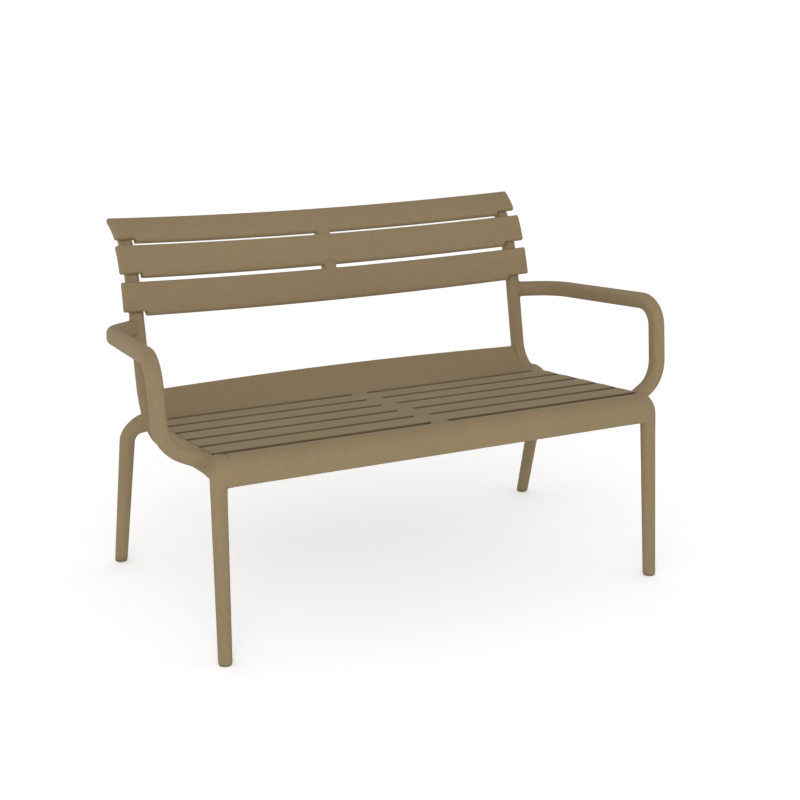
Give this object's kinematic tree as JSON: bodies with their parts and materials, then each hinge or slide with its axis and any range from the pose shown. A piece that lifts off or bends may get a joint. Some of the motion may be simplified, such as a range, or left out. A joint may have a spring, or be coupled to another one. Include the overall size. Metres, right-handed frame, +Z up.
{
  "type": "plastic bench",
  "caption": "Slatted resin garden bench with open bent armrests, splayed round legs, a sloping slatted seat and a bowed, slatted back.",
  "frame": {"origin": "middle of the bounding box, at floor level under the bench", "axes": "+X across the bench to the right as seen from the front, +Y from the front edge of the seat to the back, +Z up"},
  "size_m": [1.1848, 0.7226, 0.7752],
  "materials": {
    "bench_resin": "matte moulded resin in one olive taupe colour, with a fine grain",
    "glide_rubber": "dark matt rubber",
    "screw_steel": "plain stainless steel"
  },
  "bodies": {
    "root": {"front_apron": "bench_resin", "seat_rear_board": "bench_resin", "seat_centre_rib": "bench_resin", "back_centre_stile": "bench_resin", "side_rail_left": "bench_resin", "side_rail_right": "bench_resin", "armrest_left": "bench_resin", "armrest_right": "bench_resin", "front_leg_left": "bench_resin", "front_leg_right": "bench_resin", "rear_leg_left": "bench_resin", "rear_leg_right": "bench_resin", "front_glide_left": "glide_rubber", "front_glide_right": "glide_rubber", "rear_glide_left": "glide_rubber", "rear_glide_right": "glide_rubber", "seat_slat_1": "bench_resin", "seat_slat_2": "bench_resin", "seat_slat_3": "bench_resin", "seat_slat_4": "bench_resin", "seat_slat_5": "bench_resin", "back_slat_bottom": "bench_resin", "back_slat_middle": "bench_resin", "back_slat_top": "bench_resin", "seat_slat_screws": "screw_steel", "back_slat_screws": "screw_steel", "apron_screws": "screw_steel", "rear_board_screws": "screw_steel", "leg_screws": "screw_steel", "armrest_screws": "screw_steel"}
  },
  "joints": []
}
